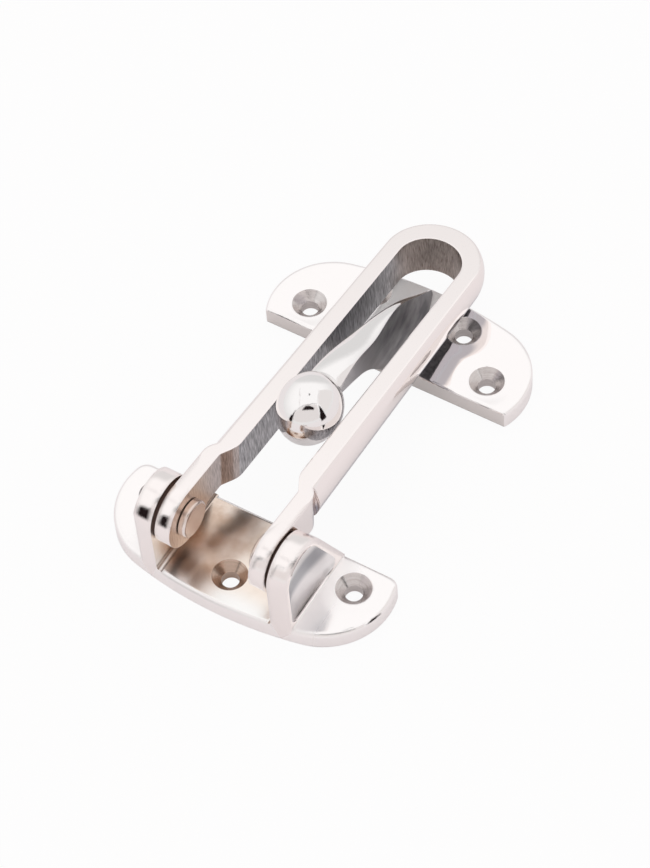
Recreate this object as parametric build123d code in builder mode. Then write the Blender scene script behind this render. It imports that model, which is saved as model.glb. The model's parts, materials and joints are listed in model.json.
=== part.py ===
"""Swing-bar door guard: a hinge base, a U-shaped swing bar on two pins, and a ball strike.

Frame: millimetres, +Z away from the mounting surface, which is z = 0. Everything is symmetrical
about x = 0. The pieces are drawn with the hinge pins along X at y = 0 and the strike towards +Y,
then set back so that the origin is midway between the two wing holes of the hinge base.
"""
import os
from math import atan2, cos, hypot, radians, sin, sqrt

from build123d import *

# Countersunk fixing screws, the same in both plates
SCREW_HOLE = 4.3
SCREW_HEAD = 8.5
SCREW_ANGLE = 90

# Hinge base, on a D-shaped plate with a wide bow and rounder shoulders
BASE_WIDTH = 71.2
BASE_DEPTH = 25.6
BASE_BOW_RADIUS = 105.0
BASE_SHOULDER_RADIUS = 17.0
BASE_THICKNESS = 4.5
BASE_TIP_RADIUS = 3.0
BASE_EDGE_ROUND = 1.2
BASE_WING_HOLE_X = 26.5
BASE_WING_HOLE_TO_EDGE = 7.0
BASE_MIDDLE_HOLE_TO_EDGE = 17.5

# Cheeks that carry the pins
CHEEK_THICKNESS = 4.8
CHEEK_RADIUS = 8.0
CHEEK_FOOT_FILLET = 1.2
PIN_HEIGHT = 19.4

# Dished recess on the outer side of each cheek
SCOOP_DEPTH = 1.8
SCOOP_RIM = 1.8
SCOOP_LEDGE = 0.8
SCOOP_CORNER = 2.4

# Swing bar
BAR_TILT = 6.0
BAR_HEIGHT = 10.8
BAR_BULGE_DROP = 5.0
BAR_EDGE_ROUND = 0.4
BAR_SIDE_CLEARANCE = 0.8
SLOT_WIDTH = 16.0
SLOT_LAP = 2.0
LEG_TOP_WIDTH = 4.5
LEG_BULGE = 1.9
LEG_TUCK = 0.5
U_CENTRE = 90.2
U_THICKENING = 1.2
U_TOP_WIDTH = 3.9
U_BULGE = 1.0
U_TUCK = 1.6
EYE_RADIUS = 7.8
EYE_NECK_FILLET = 4.0
ARM_THICKNESS = 3.9
JOG_START = 13.6
JOG_LENGTH = 4.2
JOG_HEEL_ROUND = 1.5
JOG_TOE_ROUND = 6.0
LEG_SETBACK = 2.6
ARM_LAP = 1.3
SHOULDER_ROUND = 5.0

# Hinge pins and friction washers
PIN_DIAMETER = 5.0
PIN_HEAD_DIAMETER = 9.2
PIN_HEAD_HEIGHT = 1.7
PIN_HEAD_ROUND = 0.6
PIN_PRESS_DEPTH = 2.2
PIN_RUNNING_CLEARANCE = 0.06
SIDE_CLEARANCE = 0.25
WASHER_DIAMETER = 14.4
WASHER_THICKNESS = 0.7

# Ball strike, on a plate of the same kind that faces the base
PLATE_GAP = 51.6
STRIKE_WIDTH = 69.0
STRIKE_DEPTH = 24.8
STRIKE_BOW_RADIUS = 105.0
STRIKE_SHOULDER_RADIUS = 16.0
STRIKE_THICKNESS = 4.8
STRIKE_EDGE_ROUND = 0.9
STRIKE_TIP_RADIUS = 0.6
STRIKE_OUTER_HOLE_X = 24.5
STRIKE_OUTER_HOLE_TO_EDGE = 6.7
STRIKE_INNER_HOLE_X = 12.4
STRIKE_INNER_HOLE_TO_EDGE = 17.1
BALL_CLEARANCE = 0.4
BALL_DIAMETER = 17.4
BALL_HEIGHT = 23.8
BALL_REACH = 31.8
NECK_ROOT_LENGTH = 23.2
NECK_WIDTH = 7.0
NECK_FOOT_WIDTH = 10.0
NECK_CROWN = 0.35


def bow_sag(bow_radius, x):
    """How far a bow falls back from its apex at the distance x from the middle."""
    return bow_radius - sqrt(bow_radius**2 - x**2)


# Places that follow from the sizes above
slot_x = SLOT_WIDTH / 2
cheek_inner_x = slot_x + LEG_TOP_WIDTH + LEG_BULGE + BAR_SIDE_CLEARANCE
cheek_outer_x = cheek_inner_x + CHEEK_THICKNESS
washer_inner_x = cheek_inner_x - WASHER_THICKNESS
arm_outer_x = washer_inner_x - SIDE_CLEARANCE
arm_inner_x = arm_outer_x - ARM_THICKNESS
ball_half_width = slot_x - BALL_CLEARANCE
bow_y = -CHEEK_RADIUS - bow_sag(BASE_BOW_RADIUS, cheek_inner_x)
base_edge_y = bow_y + BASE_DEPTH
strike_edge_y = base_edge_y + PLATE_GAP
ball_y = strike_edge_y - BALL_REACH

tilt = radians(BAR_TILT)
bar_axis = (0, cos(tilt), -sin(tilt))
bar_up = (0, sin(tilt), cos(tilt))
bar_plane = Plane(origin=(0, 0, PIN_HEIGHT), x_dir=(1, 0, 0), z_dir=bar_up)


def d_outline(width, depth, bow_radius, shoulder_radius, tip_radius, edge_y, bow_sign):
    """D-shaped face: straight edge along X at edge_y, bow on the side of bow_sign * Y."""
    half = width / 2
    bow_centre = depth - bow_radius
    shoulder_x = half - shoulder_radius
    reach = bow_radius - shoulder_radius
    shoulder_y = bow_centre + sqrt(reach**2 - shoulder_x**2)
    corner_x = shoulder_x + sqrt(shoulder_radius**2 - shoulder_y**2)
    meet_x = shoulder_x * bow_radius / reach
    meet_y = bow_centre + (shoulder_y - bow_centre) * bow_radius / reach

    def place(x, y):
        return (x, edge_y + bow_sign * y)

    with BuildSketch(mode=Mode.PRIVATE) as outline:
        with BuildLine():
            Line(place(-corner_x, 0), place(corner_x, 0))
            ThreePointArc(place(corner_x, 0), place(half, shoulder_y), place(meet_x, meet_y))
            ThreePointArc(place(meet_x, meet_y), place(0, depth), place(-meet_x, meet_y))
            ThreePointArc(place(-meet_x, meet_y), place(-half, shoulder_y), place(-corner_x, 0))
        make_face()
        corners = outline.vertices().group_by(Axis.Y)[-1 if bow_sign < 0 else 0]
        fillet(corners, tip_radius)
    return outline.sketch


# Direction, from the pin axis, square to the cheek's long slope
slope_far = hypot(base_edge_y, PIN_HEIGHT - BASE_THICKNESS)
slope_angle = atan2(sqrt(slope_far**2 - CHEEK_RADIUS**2), CHEEK_RADIUS) - atan2(
    PIN_HEIGHT - BASE_THICKNESS, base_edge_y
)


def cheek_profile(radius, floor, corner_radius):
    """Side face of a cheek: upright front, round top about the pin, long slope down to the floor."""
    touch = (radius * cos(slope_angle), PIN_HEIGHT + radius * sin(slope_angle))
    foot_y = touch[0] + (touch[1] - floor) * sin(slope_angle) / cos(slope_angle)
    with BuildSketch(mode=Mode.PRIVATE) as profile:
        with BuildLine():
            Line((foot_y, floor), (-radius, floor))
            Line((-radius, floor), (-radius, PIN_HEIGHT))
            ThreePointArc((-radius, PIN_HEIGHT), (0, PIN_HEIGHT + radius), touch)
            Line(touch, (foot_y, floor))
        make_face()
        if corner_radius:
            fillet(profile.vertices().group_by(Axis.Y)[0], corner_radius)
    return profile.sketch


def cheek_foot_fillet():
    """Hollow fillet along the inner foot of the right-hand cheek, ending at the cheek's slope."""
    corner_x = cheek_inner_x - CHEEK_FOOT_FILLET
    corner_z = BASE_THICKNESS + CHEEK_FOOT_FILLET
    with BuildPart(mode=Mode.PRIVATE) as strip:
        with BuildSketch(Plane.XZ.offset(-base_edge_y)):
            with Locations((cheek_inner_x, BASE_THICKNESS)):
                Rectangle(2 * CHEEK_FOOT_FILLET, 2 * CHEEK_FOOT_FILLET)
            with Locations((corner_x, corner_z)):
                Circle(CHEEK_FOOT_FILLET, mode=Mode.SUBTRACT)
        extrude(amount=BASE_DEPTH)
        with BuildSketch(Plane.YZ.offset(corner_x)):
            add(cheek_profile(CHEEK_RADIUS, 0, 0))
        extrude(amount=2 * CHEEK_FOOT_FILLET, mode=Mode.INTERSECT)
    return strip.part


foot_fillet = cheek_foot_fillet()
base_face = d_outline(
    BASE_WIDTH, BASE_DEPTH, BASE_BOW_RADIUS, BASE_SHOULDER_RADIUS, BASE_TIP_RADIUS, base_edge_y, -1
)
scoop_face = cheek_profile(CHEEK_RADIUS - SCOOP_RIM, BASE_THICKNESS + SCOOP_LEDGE, SCOOP_CORNER)
scoop_centre = scoop_face.center()
SCOOP_SCALES = (1.0, 0.8, 0.5, 0.2)

with BuildPart() as hinge_base:
    with BuildSketch():
        add(base_face)
    extrude(amount=BASE_THICKNESS)
    fillet(hinge_base.edges().group_by(Axis.Z)[-1], BASE_EDGE_ROUND)
    for near in (cheek_inner_x, -cheek_outer_x):
        with BuildSketch(Plane.YZ.offset(near)):
            add(cheek_profile(CHEEK_RADIUS, 0, 0))
        extrude(amount=CHEEK_THICKNESS)
    add(foot_fillet)
    add(mirror(foot_fillet, about=Plane.YZ, mode=Mode.PRIVATE))
    with BuildSketch():
        add(base_face)
    extrude(amount=PIN_HEIGHT + CHEEK_RADIUS, mode=Mode.INTERSECT)
    for side in (1, -1):
        for scale_by in SCOOP_SCALES:
            depth = SCOOP_DEPTH * (1 - scale_by**2)
            with BuildSketch(Plane.YZ.offset(side * (cheek_outer_x - depth))):
                with Locations(scoop_centre * (1 - scale_by)):
                    add(scale(scoop_face, by=scale_by, mode=Mode.PRIVATE))
        loft(mode=Mode.SUBTRACT)
        with BuildSketch(Plane.YZ.offset(side * cheek_inner_x)):
            with Locations((0, PIN_HEIGHT)):
                Circle(PIN_DIAMETER / 2)
        extrude(amount=side * PIN_PRESS_DEPTH, mode=Mode.SUBTRACT)
    with Locations(
        (BASE_WING_HOLE_X, base_edge_y - BASE_WING_HOLE_TO_EDGE, BASE_THICKNESS),
        (-BASE_WING_HOLE_X, base_edge_y - BASE_WING_HOLE_TO_EDGE, BASE_THICKNESS),
        (0, base_edge_y - BASE_MIDDLE_HOLE_TO_EDGE, BASE_THICKNESS),
    ):
        CounterSinkHole(SCREW_HOLE / 2, SCREW_HEAD / 2, BASE_THICKNESS, SCREW_ANGLE)

bar_top = EYE_RADIUS
bar_bottom = bar_top - BAR_HEIGHT
jog_end = JOG_START + JOG_LENGTH
leg_start = JOG_START + LEG_SETBACK
arm_end = leg_start + ARM_LAP
loop_centre = U_CENTRE + U_THICKENING
loop_axis = Axis(bar_plane.from_local_coords((0, loop_centre, 0)), bar_up)


def section_plane(along):
    """Plane square to the bar at a distance along it from the pins, its y up from the bar."""
    return Plane(
        origin=bar_plane.from_local_coords((0, along, 0)),
        x_dir=(1, 0, 0),
        z_dir=(0, -cos(tilt), sin(tilt)),
    )


def loop_section(top_width, bulge, tuck):
    """Right-hand section of the loop, solid a little past the slot's wall, with a bulged outer side."""
    inner_x = slot_x - SLOT_LAP
    crease_x = slot_x + top_width
    with BuildSketch(mode=Mode.PRIVATE) as section:
        with BuildLine():
            Line((crease_x - tuck, bar_bottom), (inner_x, bar_bottom))
            Line((inner_x, bar_bottom), (inner_x, bar_top))
            Line((inner_x, bar_top), (crease_x, bar_top))
            ThreePointArc(
                (crease_x, bar_top),
                (crease_x + bulge, bar_top - BAR_BULGE_DROP),
                (crease_x - tuck, bar_bottom),
            )
        make_face()
        fillet(section.vertices().filter_by_position(Axis.X, slot_x, crease_x + bulge), BAR_EDGE_ROUND)
    return section.sketch


def arm_side_face():
    """Side of a thin arm: a round eye about the pin, running into a straight arm."""
    with BuildSketch(mode=Mode.PRIVATE) as side:
        Circle(EYE_RADIUS)
        with Locations((arm_end / 2, (bar_top + bar_bottom) / 2)):
            Rectangle(arm_end, BAR_HEIGHT)
        crotch = side.vertices().filter_by_position(Axis.X, 1, arm_end - 1)
        fillet(crotch.group_by(Axis.Y)[0], EYE_NECK_FILLET)
    return side.sketch


def inner_space_face():
    """Plan of the space inside the bar: wide between the thin arms, then a slot with a round end."""
    with BuildSketch(mode=Mode.PRIVATE) as space:
        with BuildLine():
            FilletPolyline(
                (arm_inner_x, -EYE_RADIUS),
                (arm_inner_x, JOG_START),
                (slot_x, jog_end),
                (slot_x, U_CENTRE),
                radius=(JOG_HEEL_ROUND, JOG_TOE_ROUND),
            )
            mirror(about=Plane.YZ)
            ThreePointArc((slot_x, U_CENTRE), (0, U_CENTRE + slot_x), (-slot_x, U_CENTRE))
            Line((-arm_inner_x, -EYE_RADIUS), (arm_inner_x, -EYE_RADIUS))
        make_face()
    return space.sketch


arm_side = arm_side_face()
inner_space = inner_space_face()
leg_section = loop_section(LEG_TOP_WIDTH, LEG_BULGE, LEG_TUCK)
end_section = loop_section(U_TOP_WIDTH, U_BULGE, U_TUCK)

with BuildPart() as swing_bar:
    # Arms with round eyes, their outer sides rounded in towards the loop
    for near in (slot_x, -arm_outer_x):
        with BuildSketch(Plane(origin=(near, 0, PIN_HEIGHT), x_dir=bar_axis, z_dir=(1, 0, 0))):
            add(arm_side)
        extrude(amount=arm_outer_x - slot_x)
    end_edges = swing_bar.edges().filter_by(Axis((0, 0, 0), bar_up)).group_by(Axis.X)
    fillet(end_edges[0] + end_edges[-1], SHOULDER_ROUND)
    # Tapered legs and the round end of the loop
    for side in (1, -1):
        for along, face in ((leg_start, leg_section), (loop_centre, end_section)):
            with BuildSketch(section_plane(along)):
                add(face if side > 0 else mirror(face, about=Plane.YZ, mode=Mode.PRIVATE))
        loft()
    with BuildSketch(section_plane(loop_centre)):
        add(end_section)
    revolve(axis=loop_axis, revolution_arc=180)
    # Space inside the bar, with flat upright walls
    with BuildSketch(bar_plane.offset(-EYE_RADIUS)):
        add(inner_space)
    extrude(amount=2 * EYE_RADIUS, mode=Mode.SUBTRACT)
    with BuildSketch(Plane.YZ.offset(-arm_outer_x)):
        with Locations((0, PIN_HEIGHT)):
            Circle(PIN_DIAMETER / 2 + PIN_RUNNING_CLEARANCE)
    extrude(amount=2 * arm_outer_x, mode=Mode.SUBTRACT)


def hinge_pin(side):
    """Headed pin on the side of side * X: the head inside the arm, the tip pressed in the cheek."""
    head_x = side * (arm_inner_x - SIDE_CLEARANCE)
    with BuildPart() as pin:
        with BuildSketch(Plane.YZ.offset(head_x)):
            with Locations((0, PIN_HEIGHT)):
                Circle(PIN_HEAD_DIAMETER / 2)
        extrude(amount=-side * PIN_HEAD_HEIGHT)
        fillet(pin.faces().sort_by(Axis.X)[0 if side > 0 else -1].edges(), PIN_HEAD_ROUND)
        with BuildSketch(Plane.YZ.offset(head_x)):
            with Locations((0, PIN_HEIGHT)):
                Circle(PIN_DIAMETER / 2)
        extrude(amount=side * (cheek_inner_x + PIN_PRESS_DEPTH) - head_x)
    return pin.part


def friction_washer(side):
    """Thin ring on the pin, flat against the inner face of the cheek on the side of side * X."""
    with BuildPart() as washer:
        with BuildSketch(Plane.YZ.offset(side * washer_inner_x)):
            with Locations((0, PIN_HEIGHT)):
                Circle(WASHER_DIAMETER / 2)
                Circle(PIN_DIAMETER / 2 + PIN_RUNNING_CLEARANCE, mode=Mode.SUBTRACT)
        extrude(amount=side * WASHER_THICKNESS)
    return washer.part


# Sections of the neck: distance from the plate's straight edge, as a share of the root's length
# behind it or of the ball's reach before it, then shares of the neck's rise and widths
ROOT_SECTIONS = (
    (1.0, 0.09, 0.05, 0.14),
    (0.84, 0.24, 0.09, 0.50),
    (0.60, 0.47, 0.15, 0.80),
    (0.20, 0.78, 0.30, 0.98),
)
REACH_SECTIONS = (
    (0.12, 0.90, 0.17, 0.66, 0.74),
    (0.34, 1.01, 0.60, 0.86, 0.66),
    (0.56, 1.12, 0.78, 1.0, 0.62),
    (0.85, 1.14, 0.86, 1.0, 0.62),
)
neck_rise = BALL_HEIGHT - STRIKE_THICKNESS
neck_sunk = STRIKE_THICKNESS / 2


def neck_section(top_half, foot_half, top, bottom):
    """Upright section of the neck: crowned top, straight flanks, flat underside."""
    with BuildSketch(mode=Mode.PRIVATE) as section:
        with BuildLine():
            Line((-foot_half, bottom), (foot_half, bottom))
            Line((foot_half, bottom), (top_half, top))
            ThreePointArc((top_half, top), (0, top + NECK_CROWN * top_half), (-top_half, top))
            Line((-top_half, top), (-foot_half, bottom))
        make_face()
    return section.sketch


def strike_ball():
    """Ball, a little narrower across the slot than it is long, turned as a front and a back half."""
    with BuildPart(mode=Mode.PRIVATE) as ball:
        for half in (Keep.BOTTOM, Keep.TOP):
            with BuildSketch(Plane((0, ball_y, BALL_HEIGHT))):
                Ellipse(ball_half_width, BALL_DIAMETER / 2)
                split(bisect_by=Plane.XZ, keep=half)
            revolve(axis=Axis((0, ball_y, BALL_HEIGHT), (1, 0, 0)), revolution_arc=180, clean=False)
    return ball.part


strike_face = d_outline(
    STRIKE_WIDTH,
    STRIKE_DEPTH,
    STRIKE_BOW_RADIUS,
    STRIKE_SHOULDER_RADIUS,
    STRIKE_TIP_RADIUS,
    strike_edge_y,
    1,
)

with BuildPart() as ball_strike:
    # Plate with its screw holes
    with BuildSketch():
        add(strike_face)
    extrude(amount=STRIKE_THICKNESS)
    fillet(ball_strike.edges().group_by(Axis.Z)[-1], STRIKE_EDGE_ROUND)
    with Locations(
        (STRIKE_OUTER_HOLE_X, strike_edge_y + STRIKE_OUTER_HOLE_TO_EDGE, STRIKE_THICKNESS),
        (-STRIKE_OUTER_HOLE_X, strike_edge_y + STRIKE_OUTER_HOLE_TO_EDGE, STRIKE_THICKNESS),
        (STRIKE_INNER_HOLE_X, strike_edge_y + STRIKE_INNER_HOLE_TO_EDGE, STRIKE_THICKNESS),
        (-STRIKE_INNER_HOLE_X, strike_edge_y + STRIKE_INNER_HOLE_TO_EDGE, STRIKE_THICKNESS),
    ):
        CounterSinkHole(SCREW_HOLE / 2, SCREW_HEAD / 2, STRIKE_THICKNESS, SCREW_ANGLE)
    # Neck, lofted from its pointed root on the plate to the ball
    for share, rise, top_share, foot_share in ROOT_SECTIONS:
        with BuildSketch(Plane.XZ.offset(-strike_edge_y - share * NECK_ROOT_LENGTH)):
            add(
                neck_section(
                    top_share * NECK_WIDTH / 2,
                    foot_share * NECK_FOOT_WIDTH / 2,
                    STRIKE_THICKNESS + rise * neck_rise,
                    neck_sunk,
                )
            )
    for share, rise, drop, top_share, foot_share in REACH_SECTIONS:
        with BuildSketch(Plane.XZ.offset(-strike_edge_y + share * BALL_REACH)):
            add(
                neck_section(
                    top_share * NECK_WIDTH / 2,
                    foot_share * NECK_FOOT_WIDTH / 2,
                    STRIKE_THICKNESS + rise * neck_rise,
                    STRIKE_THICKNESS + drop * neck_rise,
                )
            )
    loft()
    add(strike_ball())

pieces = {
    "hinge_base": hinge_base.part,
    "swing_bar": swing_bar.part,
    "ball_strike": ball_strike.part,
}
for side, name in ((-1, "left"), (1, "right")):
    pieces["hinge_pin_" + name] = hinge_pin(side)
    pieces["friction_washer_" + name] = friction_washer(side)

to_frame = Location((0, BASE_WING_HOLE_TO_EDGE - base_edge_y, 0))
os.makedirs("parts", exist_ok=True)
for name, piece in pieces.items():
    piece = piece.moved(to_frame)
    piece.label = name
    export_step(piece, f"parts/{name}.step")
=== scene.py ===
"""Looks of a polished swing-bar door guard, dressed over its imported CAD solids.

Lengths in the size classes are millimetres and everything in Blender is metres, in the CAD frame:
z = 0 is the mounting surface, the hinge pins lie along X and the strike lies towards +Y.
"""

import json
import logging
import math
from dataclasses import dataclass
from enum import Enum
from typing import Any, Callable

import bmesh
import bpy
from mathutils import Matrix, Vector

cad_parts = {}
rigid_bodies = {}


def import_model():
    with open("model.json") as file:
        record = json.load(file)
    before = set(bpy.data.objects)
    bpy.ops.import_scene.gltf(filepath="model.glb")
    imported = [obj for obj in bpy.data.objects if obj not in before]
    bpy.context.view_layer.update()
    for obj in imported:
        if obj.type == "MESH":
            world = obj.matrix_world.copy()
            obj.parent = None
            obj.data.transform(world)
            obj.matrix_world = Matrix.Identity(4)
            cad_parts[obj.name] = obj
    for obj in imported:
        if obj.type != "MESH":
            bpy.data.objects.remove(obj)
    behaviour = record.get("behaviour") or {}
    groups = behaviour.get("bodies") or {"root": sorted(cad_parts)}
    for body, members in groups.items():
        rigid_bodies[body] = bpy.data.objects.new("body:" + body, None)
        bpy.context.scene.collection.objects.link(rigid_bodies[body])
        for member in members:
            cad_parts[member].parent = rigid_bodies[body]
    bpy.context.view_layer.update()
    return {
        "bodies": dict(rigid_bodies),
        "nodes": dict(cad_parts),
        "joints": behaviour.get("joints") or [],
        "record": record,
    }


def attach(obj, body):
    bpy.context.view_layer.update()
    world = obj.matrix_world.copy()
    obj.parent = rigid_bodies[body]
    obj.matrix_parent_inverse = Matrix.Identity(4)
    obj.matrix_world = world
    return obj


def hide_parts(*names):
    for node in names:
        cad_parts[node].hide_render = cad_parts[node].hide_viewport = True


MM = 0.001
# Corners closer than this are one.
WELD_MM = 0.0005
# A face this close to a plane lies on it.
SLACK_MM = 0.02
# A face whose normal has this share along an axis faces that way.
FACING = 0.9
LOG = logging.getLogger("door_guard")

Tree = bpy.types.NodeTree
Socket = bpy.types.NodeSocket


class Finish(Enum):
    """Finishes that a face of the guard can have."""

    POLISHED = "polished"
    BARREL = "barrel"
    BAR = "bar"
    BALL = "ball"
    BASE_PLATE = "base_plate"
    STRIKE_PLATE = "strike_plate"
    EDGE = "edge"
    SCOOP = "scoop"
    CREASE = "crease"
    GROUND = "ground"
    FLANK = "flank"
    CAST = "cast"
    BRUSHED = "brushed"
    SATIN = "satin"
    CHEEK = "cheek"
    PIN = "pin"
    TURNED = "turned"
    BORED = "bored"
    FIBRE = "fibre"


def linear(hex_colour: str) -> tuple[float, float, float, float]:
    """Turn an sRGB hex colour into linear RGBA.

    Args:
        hex_colour: Six hex digits, such as "e8e2df".

    Returns:
        Linear red, green, blue and an alpha of 1.
    """
    shares = [int(hex_colour[i : i + 2], 16) / 255 for i in (0, 2, 4)]
    red, green, blue = (s / 12.92 if s <= 0.04045 else ((s + 0.055) / 1.055) ** 2.4 for s in shares)
    return (red, green, blue, 1.0)


def direction(azimuth: float, elevation: float) -> Vector:
    """Find the unit vector of a direction.

    Args:
        azimuth: Degrees from the front towards the right.
        elevation: Degrees above the floor.

    Returns:
        The vector, away from the object.
    """
    turn, lift = math.radians(azimuth), math.radians(elevation)
    return Vector((math.sin(turn) * math.cos(lift), -math.cos(turn) * math.cos(lift), math.sin(lift)))


def add_object(name: str, data: bpy.types.ID) -> bpy.types.Object:
    """Make an object from a mesh or a camera and put it in the scene."""
    item = bpy.data.objects.new(name, data)
    bpy.context.scene.collection.objects.link(item)
    return item


def add_mesh(name: str, shape: bmesh.types.BMesh, material: bpy.types.Material) -> bpy.types.Object:
    """Make an object with one material from a finished shape, and free the shape."""
    mesh = bpy.data.meshes.new(name)
    shape.to_mesh(mesh)
    shape.free()
    mesh.materials.append(material)
    return add_object(name, mesh)


def add_node(
    tree: Tree,
    kind: str,
    settings: dict[str, Any] | None = None,
    inputs: dict[str | int, Any] | None = None,
) -> bpy.types.Node:
    """Add a node, set its properties, and set or link its inputs.

    Args:
        tree: Node tree that gets the node.
        kind: Node type, such as "ShaderNodeMath".
        settings: Node properties by name.
        inputs: By input name or index, a value or the output socket to link.

    Returns:
        The new node.
    """
    node = tree.nodes.new(kind)
    for name, value in (settings or {}).items():
        setattr(node, name, value)
    for key, value in (inputs or {}).items():
        if isinstance(value, Socket):
            tree.links.new(value, node.inputs[key])
        else:
            node.inputs[key].default_value = value
    return node


def piece_place(tree: Tree) -> Socket:
    """Place of the shaded point in its piece, in metres."""
    return add_node(tree, "ShaderNodeTexCoord").outputs["Object"]


def axis_of(tree: Tree, vector: Socket, axis: str) -> Socket:
    """One coordinate of a vector: "X", "Y" or "Z"."""
    return add_node(tree, "ShaderNodeSeparateXYZ", inputs={"Vector": vector}).outputs[axis]


def scaled(
    tree: Tree, vector: Socket, scale: tuple[float, float, float], slant: float = 0.0
) -> Socket:
    """Place squeezed along each axis, after a turn of `slant` degrees about X."""
    return add_node(
        tree,
        "ShaderNodeMapping",
        inputs={"Vector": vector, "Rotation": (math.radians(slant), 0.0, 0.0), "Scale": scale},
    ).outputs["Vector"]


def noise(tree: Tree, vector: Socket, size_mm: float, detail: float) -> Socket:
    """Noise from 0 to 1 whose patches are about `size_mm` wide."""
    return add_node(
        tree,
        "ShaderNodeTexNoise",
        inputs={"Vector": vector, "Scale": 1 / (size_mm * MM), "Detail": detail},
    ).outputs["Fac"]


def ramp(
    tree: Tree,
    value: Socket,
    limits: tuple[float, float],
    ends: tuple[Any, Any] = (0.0, 1.0),
    curve: str = "SMOOTHSTEP",
) -> Socket:
    """Map a value between two limits onto a new range.

    Args:
        tree: Node tree that gets the node.
        value: Value to map.
        limits: Where the ramp starts and stops.
        ends: Result at each limit, a number or a socket.
        curve: "SMOOTHSTEP" to ease both ends, or "LINEAR".

    Returns:
        The mapped value.
    """
    return add_node(
        tree,
        "ShaderNodeMapRange",
        {"interpolation_type": curve},
        {
            "Value": value,
            "From Min": limits[0],
            "From Max": limits[1],
            "To Min": ends[0],
            "To Max": ends[1],
        },
    ).outputs["Result"]


def ramp_mm(tree: Tree, value: Socket, start: float, stop: float) -> Socket:
    """Ease from 0 to 1 between two lengths in millimetres."""
    return ramp(tree, value, (start * MM, stop * MM))


def maths(tree: Tree, operation: str, *values: Any) -> Socket:
    """Result of a mathematical operation on numbers or sockets."""
    node = add_node(tree, "ShaderNodeMath", {"operation": operation}, dict(enumerate(values)))
    return node.outputs["Value"]


def vector_maths(tree: Tree, operation: str, *values: Any) -> bpy.types.Node:
    """Node that does a vector operation on vectors or sockets."""
    return add_node(tree, "ShaderNodeVectorMath", {"operation": operation}, dict(enumerate(values)))


def blend(tree: Tree, share: Socket, first: str | Socket, second: str | Socket) -> Socket:
    """Colour between two, each a hex colour or a socket, from the first at 0 to the second at 1."""
    ends = [linear(colour) if isinstance(colour, str) else colour for colour in (first, second)]
    return add_node(
        tree,
        "ShaderNodeMix",
        {"data_type": "RGBA"},
        {"Factor": share, "A": ends[0], "B": ends[1]},
    ).outputs["Result"]


def raised(tree: Tree, height: Socket, depth_mm: float, normal: Socket | None = None) -> Socket:
    """Normal of a surface that a height of 1 raises by `depth_mm`, over another normal if given."""
    inputs = {"Strength": 1.0, "Distance": depth_mm * MM, "Height": height}
    if normal is not None:
        inputs["Normal"] = normal
    return add_node(tree, "ShaderNodeBump", inputs=inputs).outputs["Normal"]


def new_material(name: str) -> tuple[bpy.types.Material, Tree]:
    """Make a material with an empty node tree.

    Args:
        name: Name of the material.

    Returns:
        The material and its node tree.
    """
    material = bpy.data.materials.new(name)
    material.use_nodes = True
    material.node_tree.nodes.clear()
    return material, material.node_tree


def surface(tree: Tree, inputs: dict[str, Any]) -> None:
    """Close a material's tree with one principled shader.

    Args:
        tree: Node tree of the material.
        inputs: By input name of the shader, a value or the output socket to link.
    """
    shader = add_node(tree, "ShaderNodeBsdfPrincipled", inputs=inputs)
    add_node(tree, "ShaderNodeOutputMaterial", inputs={"Surface": shader.outputs["BSDF"]})


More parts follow.
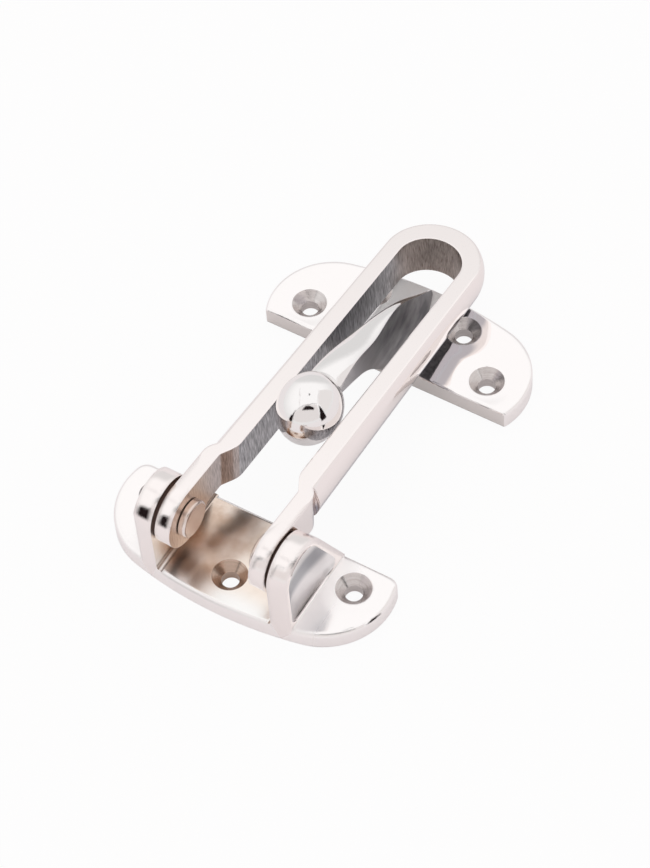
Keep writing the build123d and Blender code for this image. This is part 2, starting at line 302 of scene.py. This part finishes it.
@dataclass(frozen=True)
class PolishedNickel:
    """Nickel plate buffed to a mirror: pale and faintly pink, with slow waves left by the mop.

    The mop also dips into each screw hole, so the plate is dished round the places in `dishes`. It
    misses a strip along the middle of a plate, which is dull up to `dull_half_mm` on both sides.
    """

    name: str = "polished_nickel"
    colour: str = "fdf6f4"
    clean: float = 0.03
    smeared: float = 0.08
    smear_mm: float = 4.0
    wave_mm: float = 9.0
    wave_depth_mm: float = 0.015
    edge_mm: float = 0.6
    edge_samples: int = 6
    dishes: tuple[tuple[float, float], ...] = ()
    dish_from_mm: float = 4.0
    dish_to_mm: float = 8.5
    dish_depth_mm: float = 0.3
    dull_half_mm: float = 0.0
    dull_fade_mm: float = 2.0
    dull: float = 0.5
    dull_metallic: float = 1.0

    def tone(self, tree: Tree, place: Socket) -> Any:
        """Colour of the plate: a value here, and a socket where a finish varies over its piece."""
        return linear(self.colour)

    def strip(self, tree: Tree, place: Socket, inside: float, outside: Any) -> Socket:
        """Blend a value across the edge of the dull strip.

        Args:
            tree: Node tree that gets the nodes.
            place: Place of the shaded point.
            inside: Value in the strip.
            outside: Value elsewhere.

        Returns:
            The blended value.
        """
        across = maths(tree, "ABSOLUTE", axis_of(tree, place, "X"))
        limits = (self.dull_half_mm * MM, (self.dull_half_mm + self.dull_fade_mm) * MM)
        return ramp(tree, across, limits, (inside, outside))

    def dish(self, tree: Tree, place: Socket, x: float, y: float) -> Socket:
        """Height of the dip round one screw hole.

        Args:
            tree: Node tree that gets the nodes.
            place: Place of the shaded point.
            x: Place of the hole across the plate, in millimetres.
            y: Place of the hole along the guard, in millimetres.

        Returns:
            The height, 0 at the hole and 1 outside the dip.
        """
        flat = vector_maths(tree, "MULTIPLY", place, (1.0, 1.0, 0.0)).outputs["Vector"]
        reach = vector_maths(tree, "DISTANCE", flat, (x * MM, y * MM, 0.0)).outputs["Value"]
        return ramp_mm(tree, reach, self.dish_from_mm, self.dish_to_mm)

    def material(self) -> bpy.types.Material:
        """Build the material."""
        material, tree = new_material(self.name)
        place = piece_place(tree)
        waves = noise(tree, place, self.wave_mm, 1.0)
        smears = noise(tree, place, self.smear_mm, 4.0)
        rough = ramp(tree, smears, (0.0, 1.0), (self.clean, self.smeared), "LINEAR")
        metallic = 1.0
        if self.dull_half_mm > 0:
            rough = self.strip(tree, place, self.dull, rough)
        if self.dull_metallic < 1:
            metallic = self.strip(tree, place, self.dull_metallic, metallic)
        edge = add_node(
            tree, "ShaderNodeBevel", {"samples": self.edge_samples}, {"Radius": self.edge_mm * MM}
        )
        normal = raised(tree, waves, self.wave_depth_mm, edge.outputs["Normal"])
        for x, y in self.dishes:
            normal = raised(tree, self.dish(tree, place, x, y), self.dish_depth_mm, normal)
        surface(
            tree,
            {
                "Base Color": self.tone(tree, place),
                "Metallic": metallic,
                "Roughness": rough,
                "Normal": normal,
            },
        )
        return material


@dataclass(frozen=True)
class BarNickel(PolishedNickel):
    """Buffed plate of the bar, with painted shade: the lower half of its sides is painted greyer.

    Heights are measured square to the bar, which leans, from the frame's origin.
    """

    name: str = "bar_nickel"
    # Painted shade on the lower half of the bar's sides.
    painted_shade_colour: str = "c6c4c9"
    lean: float = 6.0
    low_from_mm: float = 21.0
    low_to_mm: float = 19.2

    def tone(self, tree: Tree, place: Socket) -> Any:
        """Colour of the bar, blended from its crest down into painted shade."""
        turn = math.radians(self.lean)
        square = (0.0, math.sin(turn), math.cos(turn))
        height = vector_maths(tree, "DOT_PRODUCT", place, square).outputs["Value"]
        low = ramp_mm(tree, height, self.low_from_mm, self.low_to_mm)
        return blend(tree, low, self.colour, self.painted_shade_colour)


@dataclass(frozen=True)
class GroundNickel:
    """Plate over a wall dressed on a belt: dull, with close slanted lines, warmer at one end, and painted
    grey as shade inside the slot.
    """

    name: str = "ground_nickel"
    # Painted shade: the wall's light and dark greys, laid over the belt's real lines.
    light: str = "e4e3e6"
    dark: str = "77767a"
    end_light: str = "c9beb8"
    end_dark: str = "8b807a"
    end_from_mm: float = 74.0
    end_to_mm: float = 84.0
    roughness: float = 0.38
    line_mm: float = 0.22
    line_depth_mm: float = 0.01
    line_stretch: float = 0.08
    line_slant: float = 36.0
    line_limits: tuple[float, float] = (0.3, 0.7)

    def material(self) -> bpy.types.Material:
        """Build the material."""
        material, tree = new_material(self.name)
        place = piece_place(tree)
        slanted = scaled(tree, place, (1.0, 1.0, self.line_stretch), self.line_slant)
        lines = noise(tree, slanted, self.line_mm, 3.0)
        end = ramp_mm(tree, axis_of(tree, place, "Y"), self.end_from_mm, self.end_to_mm)
        low = blend(tree, end, self.dark, self.end_dark)
        high = blend(tree, end, self.light, self.end_light)
        shade = blend(tree, ramp(tree, lines, self.line_limits, curve="LINEAR"), low, high)
        surface(
            tree,
            {
                "Base Color": shade,
                "Metallic": 1.0,
                "Roughness": self.roughness,
                "Normal": raised(tree, lines, self.line_depth_mm),
            },
        )
        return material


@dataclass(frozen=True)
class SatinNickel:
    """Thin plate out of reach of the mop: champagne and cloudy, with a painted highlight that whitens it
    along the base's front.
    """

    name: str = "satin_nickel"
    light: str = "fbeee3"
    dark: str = "cfb29d"
    # Painted highlight along the base's front.
    front: str = "fffdfb"
    front_from_mm: float = -11.0
    front_to_mm: float = -17.0
    roughness: float = 0.24
    cloud_mm: float = 12.0
    cloud_limits: tuple[float, float] = (0.3, 0.62)

    def material(self) -> bpy.types.Material:
        """Build the material."""
        material, tree = new_material(self.name)
        place = piece_place(tree)
        clouds = ramp(tree, noise(tree, place, self.cloud_mm, 4.0), self.cloud_limits)
        cloudy = blend(tree, clouds, self.dark, self.light)
        front = ramp_mm(tree, axis_of(tree, place, "Y"), self.front_from_mm, self.front_to_mm)
        shade = blend(tree, front, cloudy, self.front)
        surface(tree, {"Base Color": shade, "Metallic": 1.0, "Roughness": self.roughness})
        return material


@dataclass(frozen=True)
class TurnedNickel:
    """Plate over a drilled countersink: mid grey, with the drill's rings at even depths."""

    name: str = "turned_nickel"
    light: str = "f3eeec"
    dark: str = "c4bcba"
    roughness: float = 0.22
    metallic: float = 0.85
    ring_mm: float = 0.36
    ring_depth_mm: float = 0.03
    ring_stretch: float = 0.02

    def material(self) -> bpy.types.Material:
        """Build the material."""
        material, tree = new_material(self.name)
        depth = scaled(tree, piece_place(tree), (self.ring_stretch, self.ring_stretch, 1.0))
        rings = noise(tree, depth, self.ring_mm, 2.0)
        surface(
            tree,
            {
                "Base Color": blend(tree, rings, self.dark, self.light),
                "Metallic": self.metallic,
                "Roughness": self.roughness,
                "Normal": raised(tree, rings, self.ring_depth_mm),
            },
        )
        return material


@dataclass(frozen=True)
class ScoopNickel:
    """Plate in the cheeks' hollows, which the mop only brushes, so it is less glossy; painted shade
    darkens it across the upper half.
    """

    light: str = "f8f5f6"
    # Painted shade across the hollow's upper half.
    dark: str = "aeafb5"
    rise_mm: tuple[float, float] = (12.0, 16.5)
    fall_mm: tuple[float, float] = (24.0, 20.0)
    metallic: float = 0.5
    roughness: float = 0.3

    def material(self) -> bpy.types.Material:
        """Build the material."""
        material, tree = new_material("scoop_nickel")
        height = axis_of(tree, piece_place(tree), "Z")
        slopes = [ramp_mm(tree, height, *limits) for limits in (self.rise_mm, self.fall_mm)]
        shade = blend(tree, maths(tree, "MINIMUM", *slopes), self.light, self.dark)
        surface(tree, {"Base Color": shade, "Metallic": self.metallic, "Roughness": self.roughness})
        return material


@dataclass(frozen=True)
class FlankNickel:
    """Plate on the steep sides of the strike's neck: brushed, with painted shade that is dark away from
    the ball and paler towards it.
    """

    # Painted shade: pale near the ball, dark further back.
    pale: str = "dedbdc"
    dark: str = "7a797d"
    pale_y_mm: float = 38.0
    dark_y_mm: float = 58.0
    streak_mm: float = 2.4
    streak_stretch: float = 0.3
    streak_share: float = 0.6
    streak_limits: tuple[float, float] = (0.35, 0.7)
    roughness: float = 0.4

    def material(self) -> bpy.types.Material:
        """Build the material."""
        material, tree = new_material("flank_nickel")
        place = piece_place(tree)
        share = ramp_mm(tree, axis_of(tree, place, "Y"), self.pale_y_mm, self.dark_y_mm)
        along = scaled(tree, place, (1.0, self.streak_stretch, 1.0))
        streaks = noise(tree, along, self.streak_mm, 4.0)
        lift = ramp(tree, streaks, self.streak_limits, (1.0, self.streak_share), "LINEAR")
        shade = blend(tree, maths(tree, "MULTIPLY", share, lift), self.pale, self.dark)
        surface(tree, {"Base Color": shade, "Metallic": 1.0, "Roughness": self.roughness})
        return material


@dataclass(frozen=True)
class CastUnderside:
    """Plate over the bar's unpolished underside: dull and grainy, and painted dark as shade under the bar.
    """

    # Painted shade under the bar, with a real grain between the two greys.
    light: str = "7d7b7f"
    dark: str = "2e2d30"
    roughness: float = 0.45
    grain_mm: float = 0.8

    def material(self) -> bpy.types.Material:
        """Build the material."""
        material, tree = new_material("cast_nickel")
        shade = blend(tree, noise(tree, piece_place(tree), self.grain_mm, 3.0), self.dark, self.light)
        surface(tree, {"Base Color": shade, "Metallic": 1.0, "Roughness": self.roughness})
        return material


@dataclass(frozen=True)
class UnbuffedNickel:
    """Plate in the crease at the foot of each cheek, which the mop doesn't reach: pale and dull."""

    colour: str = "f0ebea"
    roughness: float = 0.8

    def material(self) -> bpy.types.Material:
        """Build the material."""
        material, tree = new_material("unbuffed_nickel")
        surface(tree, {"Base Color": linear(self.colour), "Roughness": self.roughness})
        return material


@dataclass(frozen=True)
class WasherFibre:
    """Pressed fibre: dark brown and dull."""

    colour: str = "3f261c"
    roughness: float = 0.7

    def material(self) -> bpy.types.Material:
        """Build the material."""
        material, tree = new_material("washer_fibre")
        surface(tree, {"Base Color": linear(self.colour), "Roughness": self.roughness})
        return material


def places(holes: list["ScrewHole"]) -> tuple[tuple[float, float], ...]:
    """Places of some screw holes, in millimetres across and along the guard."""
    return tuple((hole.x, hole.y) for hole in holes)


class Palette:
    """The guard's materials, one for each finish."""

    def __init__(self) -> None:
        """Build every material once."""
        self.materials = {
            Finish.POLISHED: PolishedNickel().material(),
            Finish.BARREL: PolishedNickel(name="barrel_nickel", edge_mm=2.0).material(),
            Finish.BAR: BarNickel().material(),
            Finish.BALL: PolishedNickel(name="ball_nickel", colour="f9f6f5").material(),
            Finish.BASE_PLATE: PolishedNickel(
                name="base_plate_nickel",
                colour="fefaf9",
                wave_mm=6.0,
                wave_depth_mm=0.03,
                dishes=places(HingeBase().holes()),
                dull_half_mm=22.0,
                dull_fade_mm=7.0,
                dull=0.4,
            ).material(),
            Finish.STRIKE_PLATE: PolishedNickel(
                name="strike_plate_nickel",
                colour="fefaf9",
                dishes=places(BallStrike().holes()),
                dull_half_mm=8.0,
                dull=0.6,
                dull_metallic=0.1,
            ).material(),
            # Painted shade: the strike's front edge is a darker copy of the polished plate.
            Finish.EDGE: PolishedNickel(name="shaded_edge_nickel", colour="e6e1de", smeared=0.2).material(),
            Finish.SCOOP: ScoopNickel().material(),
            Finish.CREASE: UnbuffedNickel().material(),
            Finish.GROUND: GroundNickel().material(),
            Finish.FLANK: FlankNickel().material(),
            Finish.CAST: CastUnderside().material(),
            Finish.BRUSHED: GroundNickel(
                name="brushed_nickel",
                light="e9deda",
                dark="aea29e",
                end_light="f2e0d2",
                end_dark="cdb4a3",
                end_from_mm=3.0,
                end_to_mm=-6.0,
                roughness=0.3,
                line_depth_mm=0.008,
            ).material(),
            Finish.SATIN: SatinNickel().material(),
            Finish.CHEEK: SatinNickel(name="cheek_nickel", light="dcc7b9", dark="a18877").material(),
            Finish.PIN: SatinNickel(
                name="pin_nickel", light="e6d5cc", dark="c2ada2", roughness=0.22
            ).material(),
            Finish.TURNED: TurnedNickel().material(),
            Finish.BORED: TurnedNickel(name="bored_nickel", light="ead3c3", dark="a88d7b").material(),
            Finish.FIBRE: WasherFibre().material(),
        }


def dress(
    frame: dict[str, Any],
    palette: Palette,
    node: str,
    body: str,
    choose: Callable[[Vector, Vector], Finish],
) -> None:
    """Copy a CAD node's mesh, close it, and give each face its finish.

    Args:
        palette: Materials by finish.
        node: Name of the CAD node.
        body: CAD body that the piece rides on.
        choose: Finish of a face from its centre in millimetres and its normal.
    """
    mesh = frame["nodes"][node].data.copy()
    mesh.name = node + "_looks"
    mesh.materials.clear()
    normals = [Vector(corner.vector) for corner in mesh.corner_normals]
    shape = bmesh.new()
    shape.from_mesh(mesh)
    layer = shape.loops.layers.float_vector.new("cad_normal")
    corners = (corner for face in shape.faces for corner in face.loops)
    for corner, normal in zip(corners, normals):
        corner[layer] = normal
    bmesh.ops.remove_doubles(shape, verts=shape.verts, dist=WELD_MM * MM)
    normals = [Vector(corner[layer]) for face in shape.faces for corner in face.loops]
    shape.loops.layers.float_vector.remove(layer)
    used: list[Finish] = []
    for face in shape.faces:
        finish = choose(face.calc_center_median() / MM, face.normal)
        if finish not in used:
            used.append(finish)
        face.material_index = used.index(finish)
        face.smooth = True
    shape.to_mesh(mesh)
    shape.free()
    mesh.normals_split_custom_set(normals)
    for finish in used:
        mesh.materials.append(palette.materials[finish])
    piece = add_object(node + "_looks", mesh)
    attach(piece, body)
    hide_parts(node)
    LOG.info("%s: %d faces", piece.name, len(mesh.polygons))


@dataclass
class ScrewHole:
    """A countersunk hole: its axis and the reach of its cone, in millimetres."""

    x: float
    y: float
    reach: float = 4.4

    def holds(self, centre: Vector, normal: Vector, top: float) -> bool:
        """Whether a face belongs to this hole."""
        inside = math.hypot(centre.x - self.x, centre.y - self.y) < self.reach
        return inside and abs(normal.z) < FACING and centre.z < top


@dataclass
class HingeBase:
    """The hinge base: plate, cheeks and screw holes.

    The last three values are shares of a face's normal: a crease's wall leans across by more than
    `crease_wall`, and a hollow faces out by more than `hollow_out` and not to the front.
    """

    thickness: float = 4.5
    floor_half: float = 15.2
    floor_round: float = 0.05
    cheek_outer: float = 20.0
    hole_x: float = 26.5
    middle_hole_y: float = -10.5
    crease_drop: float = 0.01
    crease_wall: float = 0.5
    hollow_out: float = 0.12
    hollow_front: float = -0.8

    def holes(self) -> list[ScrewHole]:
        """The base's three screw holes."""
        return [
            ScrewHole(-self.hole_x, 0.0),
            ScrewHole(self.hole_x, 0.0),
            ScrewHole(0.0, self.middle_hole_y),
        ]

    def finish(self, centre: Vector, normal: Vector) -> Finish:
        """Choose a face's finish.

        Args:
            centre: Centre of the face in millimetres.
            normal: Normal of the face.

        Returns:
            The finish.
        """
        top = self.thickness + SLACK_MM
        inside = abs(centre.x) < self.floor_half + SLACK_MM
        if any(hole.holds(centre, normal, top) for hole in self.holes()):
            return Finish.BORED if inside else Finish.TURNED
        if inside and normal.z > FACING and abs(centre.z - self.thickness) < self.floor_round:
            return Finish.SATIN
        if inside and centre.z > top:
            return Finish.CHEEK
        hollow = self.floor_half < abs(centre.x) < self.cheek_outer - SLACK_MM
        sunk = centre.z < self.thickness - self.crease_drop
        if hollow and sunk and abs(normal.x) > self.crease_wall:
            return Finish.CREASE
        if centre.z < top:
            return Finish.BASE_PLATE
        outward = normal.x * math.copysign(1.0, centre.x)
        if hollow and outward > self.hollow_out and normal.y > self.hollow_front:
            return Finish.SCOOP
        return Finish.BARREL

    def build(self, frame: dict[str, Any], palette: Palette) -> None:
        """Dress the base."""
        dress(frame, palette, "hinge_base", "fixed", self.finish)


@dataclass
class SwingBar:
    """The swing bar: loop, slot, thin arms and eyes.

    Lengths along the bar start at the pins. The last two values are shares of a face's normal, up
    from the bar.
    """

    pin_y: float = -9.494
    pin_z: float = 19.4
    tilt: float = 6.0
    slot_half: float = 8.0
    slot_slack: float = 0.1
    u_centre: float = 90.2
    loop_start: float = 13.4
    jog_start: float = 13.6
    arm_inner: float = 10.35
    eye_round: float = 5.0
    underside: float = -0.7
    crown: float = 0.3

    def finish(self, centre: Vector, normal: Vector) -> Finish:
        """Choose a face's finish.

        Args:
            centre: Centre of the face in millimetres.
            normal: Normal of the face.

        Returns:
            The finish.
        """
        turn = math.radians(self.tilt)
        facing_up = normal.y * math.sin(turn) + normal.z * math.cos(turn)
        far = (centre.y - self.pin_y) * math.cos(turn) - (centre.z - self.pin_z) * math.sin(turn)
        if far < self.jog_start and abs(abs(centre.x) - self.arm_inner) < SLACK_MM:
            return Finish.BRUSHED
        if far < self.eye_round:
            return Finish.BARREL
        if facing_up < self.underside:
            return Finish.CAST if far > self.jog_start else Finish.SATIN
        if abs(facing_up) > self.crown:
            return Finish.BAR
        slot_wall = self.slot_half + self.slot_slack
        if far > self.u_centre:
            radius = math.hypot(centre.x, far - self.u_centre)
            return Finish.GROUND if radius < slot_wall else Finish.BAR
        if far < self.loop_start:
            return Finish.POLISHED
        if normal.x * centre.x < 0:
            return Finish.GROUND if abs(centre.x) < slot_wall else Finish.BRUSHED
        return Finish.BAR

    def build(self, frame: dict[str, Any], palette: Palette) -> None:
        """Dress the bar."""
        dress(frame, palette, "swing_bar", "bar", self.finish)


@dataclass
class BallStrike:
    """The ball strike: plate, neck, ball and screw holes.

    A face of the neck is a flank where its normal points up by less than `flank_up`.
    """

    thickness: float = 4.8
    outer_hole: tuple[float, float] = (24.5, 65.3)
    inner_hole: tuple[float, float] = (12.4, 75.7)
    neck_half: float = 6.0
    neck_start: float = 35.5
    flank_up: float = 0.45

    def holes(self) -> list[ScrewHole]:
        """The strike's four screw holes."""
        return [ScrewHole(side * x, y) for x, y in (self.outer_hole, self.inner_hole) for side in (-1, 1)]

    def finish(self, centre: Vector, normal: Vector) -> Finish:
        """Choose a face's finish.

        Args:
            centre: Centre of the face in millimetres.
            normal: Normal of the face.

        Returns:
            The finish.
        """
        top = self.thickness + SLACK_MM
        if any(hole.holds(centre, normal, top) for hole in self.holes()):
            return Finish.TURNED
        on_neck = abs(centre.x) < self.neck_half and centre.y > self.neck_start and centre.z > top
        if on_neck and normal.z < self.flank_up:
            return Finish.FLANK
        if normal.y < -FACING and centre.z < self.thickness:
            return Finish.EDGE
        return Finish.STRIKE_PLATE if centre.z < top else Finish.BALL

    def build(self, frame: dict[str, Any], palette: Palette) -> None:
        """Dress the strike."""
        dress(frame, palette, "ball_strike", "fixed", self.finish)


@dataclass
class PinSet:
    """The two hinge pins and their friction washers."""

    sides: tuple[str, str] = ("left", "right")

    def build(self, frame: dict[str, Any], palette: Palette) -> None:
        """Dress the pins and the washers."""
        for side in self.sides:
            pin, washer = "hinge_pin_" + side, "friction_washer_" + side
            dress(frame, palette, pin, "fixed", lambda c, n: Finish.PIN)
            dress(frame, palette, washer, "fixed", lambda c, n: Finish.FIBRE)


@dataclass
class Camera:
    """The photograph's camera, fitted to the screw holes and the plates' edges, in millimetres."""

    azimuth: float = 34.94
    elevation: float = 54.11
    roll: float = -4.96
    distance: float = 715.4
    target_y: float = 32.786
    shift_right: float = 0.81
    shift_up: float = -3.815
    focal_pixels: float = 3040.6
    long_side_pixels: int = 868
    clip_from: float = 10.0
    clip_to: float = 10000.0

    def axes(self) -> tuple[Vector, Vector, Vector]:
        """Right, up and forward directions of the camera."""
        roll = math.radians(self.roll)
        back = direction(self.azimuth, self.elevation)
        level = (-back).cross(Vector((0, 0, 1))).normalized()
        above = level.cross(-back)
        right = level * math.cos(roll) + above * math.sin(roll)
        up = above * math.cos(roll) - level * math.sin(roll)
        return right, up, -back

    def build(self) -> None:
        """Make the camera and set it as the scene's own."""
        data = bpy.data.cameras.new("photo_camera")
        data.lens = self.focal_pixels * data.sensor_width / self.long_side_pixels
        data.clip_start = self.clip_from * MM
        data.clip_end = self.clip_to * MM
        camera = add_object("photo_camera", data)
        right, up, forward = self.axes()
        centre = right * -self.shift_right + up * -self.shift_up + forward * -self.distance
        centre += Vector((0, self.target_y, 0))
        turn = Matrix((right, up, -forward)).transposed().to_4x4()
        camera.matrix_world = Matrix.Translation(centre * MM) @ turn
        bpy.context.scene.camera = camera


@dataclass
class TentPanel:
    """A patch of the light tent that only shows as a reflection in the metal.

    Its corners are degrees of azimuth, from the front towards the right, and of elevation, seen from
    the middle of the object.
    """

    name: str
    colour: str
    corners: tuple[tuple[float, float], ...]
    reach_mm: float = 320.0
    floor_gap_mm: float = 0.3

    def place(self, azimuth: float, elevation: float, middle: Vector) -> Vector:
        """Place a corner in millimetres, no lower than the floor."""
        aim = direction(azimuth, elevation)
        reach = self.reach_mm
        if aim.z < 0:
            reach = min(reach, (middle.z - self.floor_gap_mm) / -aim.z)
        return middle + aim * reach

    def build(self, middle: Vector) -> None:
        """Make the panel as one face, hidden from all but reflected rays.

        Args:
            middle: Middle of the object in millimetres.
        """
        material, tree = new_material(self.name)
        glow = add_node(tree, "ShaderNodeEmission", inputs={"Color": linear(self.colour), "Strength": 1.0})
        add_node(tree, "ShaderNodeOutputMaterial", inputs={"Surface": glow.outputs["Emission"]})
        shape = bmesh.new()
        shape.faces.new([shape.verts.new(self.place(a, e, middle) * MM) for a, e in self.corners])
        bmesh.ops.triangulate(shape, faces=shape.faces)
        panel = add_mesh(self.name, shape, material)
        panel.visible_camera = False
        panel.visible_diffuse = False
        panel.visible_transmission = False
        panel.visible_shadow = False


def seam(points: tuple[tuple[float, float], ...], width: float) -> tuple[tuple[float, float], ...]:
    """Corners of a narrow strip along a line of directions.

    Args:
        points: Azimuth and elevation of each point of the line, in degrees.
        width: Width of the strip in degrees of elevation.

    Returns:
        Corners of the strip, round its edge.
    """
    upper = tuple((a, e + width / 2) for a, e in points)
    lower = tuple((a, e - width / 2) for a, e in reversed(points))
    return upper + lower


@dataclass
class Studio:
    """White light tent: a pale floor, an even white surround and a front flap with a lens opening.

    The surround dims to `low_share` between two heights, and to `back_share` between two cosines of
    the angle from the tent's back. The floor glows white by one share where it is seen and by another
    where the metal mirrors it, and is paper in the shadow for the rest.
    """

    middle: tuple[float, float, float] = (0.0, 33.0, 19.0)
    surround: str = "ffffff"
    low_heights: tuple[float, float] = (-0.2, 0.75)
    low_share: float = 0.8
    back_azimuth: float = 205.0
    back_cosines: tuple[float, float] = (0.66, 0.88)
    back_share: float = 0.74
    floor: str = "ffffff"
    floor_half_mm: float = 1500.0
    floor_drop_mm: float = 0.1
    floor_seen: float = 0.93
    floor_mirrored: float = 0.2
    paper: str = "ebe5e6"
    cloth: str = "e5e1e0"
    wall: str = "eae7e6"
    gap: str = "1d1516"
    stitch: str = "858081"
    stitch_width: float = 1.6
    crease: str = "cfcaca"
    crease_width: float = 1.4

    def panels(self) -> list[TentPanel]:
        """The tent's front flap, the gaps round it and its seams."""
        top = ((-30.0, 6.0), (-19.0, 35.0), (13.0, 60.0), (40.0, 61.0), (88.0, 46.0))
        left = ((-110.0, 47.0), (-54.0, 65.0), (-14.0, 53.0))
        right = ((150.0, 51.0), (111.0, 55.0), (89.0, 46.0))
        return [
            TentPanel(
                "tent_flap",
                self.cloth,
                ((-26.0, 5.0), (-18.0, 33.0), (12.0, 57.0), (40.0, 60.0), (84.0, 44.0), (74.0, 5.0)),
                reach_mm=760.0,
            ),
            TentPanel(
                "tent_lens_opening",
                self.gap,
                ((8.0, 44.0), (22.0, 57.5), (46.0, 57.5), (68.0, 43.0), (64.0, 37.0), (37.0, 45.0)),
            ),
            TentPanel("tent_right_gap", self.gap, ((88.0, 40.0), (74.0, 6.0), (75.0, -6.0), (90.0, -6.0))),
            TentPanel(
                "tent_left_gap",
                self.gap,
                ((-21.0, 37.0), (-25.0, 21.0), (-31.0, -4.0), (-14.0, -6.0), (-20.0, 21.0)),
                reach_mm=640.0,
            ),
            TentPanel(
                "tent_right_wall",
                self.wall,
                ((93.0, 42.0), (111.0, 52.0), (150.0, 48.0), (150.0, 5.0), (93.0, 5.0)),
                reach_mm=760.0,
            ),
            TentPanel("tent_vent", self.gap, ((118.0, 81.0), (162.0, 81.0), (152.0, 86.0), (108.0, 86.0))),
            TentPanel("tent_flap_seam", self.stitch, seam(top, self.stitch_width)),
            TentPanel("tent_left_seam", self.crease, seam(left, self.crease_width)),
            TentPanel("tent_right_seam", self.crease, seam(right, self.crease_width)),
        ]

    def seen(self, tree: Tree) -> Socket:
        """Whether a ray comes from the camera, straight or through something clear."""
        path = add_node(tree, "ShaderNodeLightPath")
        return maths(tree, "MAXIMUM", path.outputs["Is Camera Ray"], path.outputs["Is Transmission Ray"])

    def build_world(self) -> None:
        """Make the white surround, a little greyer towards the floor and at the back."""
        world = bpy.data.worlds.new("tent")
        world.use_nodes = True
        tree = world.node_tree
        tree.nodes.clear()
        aim = add_node(tree, "ShaderNodeTexCoord").outputs["Generated"]
        low = ramp(tree, axis_of(tree, aim, "Z"), self.low_heights, (self.low_share, 1.0))
        behind = vector_maths(tree, "DOT_PRODUCT", aim, direction(self.back_azimuth, 0.0))
        back = ramp(tree, behind.outputs["Value"], self.back_cosines, (1.0, self.back_share))
        strength = maths(tree, "MAXIMUM", self.seen(tree), maths(tree, "MINIMUM", low, back))
        light = add_node(
            tree,
            "ShaderNodeBackground",
            inputs={"Color": linear(self.surround), "Strength": strength},
        )
        add_node(tree, "ShaderNodeOutputWorld", inputs={"Surface": light.outputs["Background"]})
        bpy.context.scene.world = world

    def build_floor(self) -> None:
        """Make the pale floor: white where it is seen, with most of the object's shadow in the metal."""
        material, tree = new_material("tent_floor")
        paper = add_node(tree, "ShaderNodeBsdfDiffuse", inputs={"Color": linear(self.paper)})
        white = add_node(tree, "ShaderNodeEmission", inputs={"Color": linear(self.floor), "Strength": 1.0})
        glossy = add_node(tree, "ShaderNodeLightPath").outputs["Is Glossy Ray"]
        mirrored = maths(tree, "MULTIPLY", glossy, self.floor_mirrored)
        direct = maths(tree, "MULTIPLY", self.seen(tree), self.floor_seen)
        share = maths(tree, "MAXIMUM", direct, mirrored)
        both = add_node(
            tree,
            "ShaderNodeMixShader",
            inputs={0: share, 1: paper.outputs["BSDF"], 2: white.outputs["Emission"]},
        )
        add_node(tree, "ShaderNodeOutputMaterial", inputs={"Surface": both.outputs["Shader"]})
        shape = bmesh.new()
        bmesh.ops.create_grid(shape, x_segments=1, y_segments=1, size=self.floor_half_mm * MM)
        bmesh.ops.translate(shape, verts=shape.verts, vec=(0, 0, -self.floor_drop_mm * MM))
        add_mesh("tent_floor", shape, material)

    def build(self) -> None:
        """Make the surround, the floor, the tent's panels and the view settings."""
        self.build_world()
        self.build_floor()
        for panel in self.panels():
            panel.build(Vector(self.middle))
        bpy.context.scene.view_settings.view_transform = "Standard"


def main() -> None:
    """Dress every piece in order and light the scene."""
    logging.basicConfig(level=logging.INFO, format="%(message)s")
    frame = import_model()
    palette = Palette()
    for assembly in (HingeBase(), SwingBar(), BallStrike(), PinSet()):
        assembly.build(frame, palette)
    Camera().build()
    Studio().build()


if __name__ == "__main__":
    main()
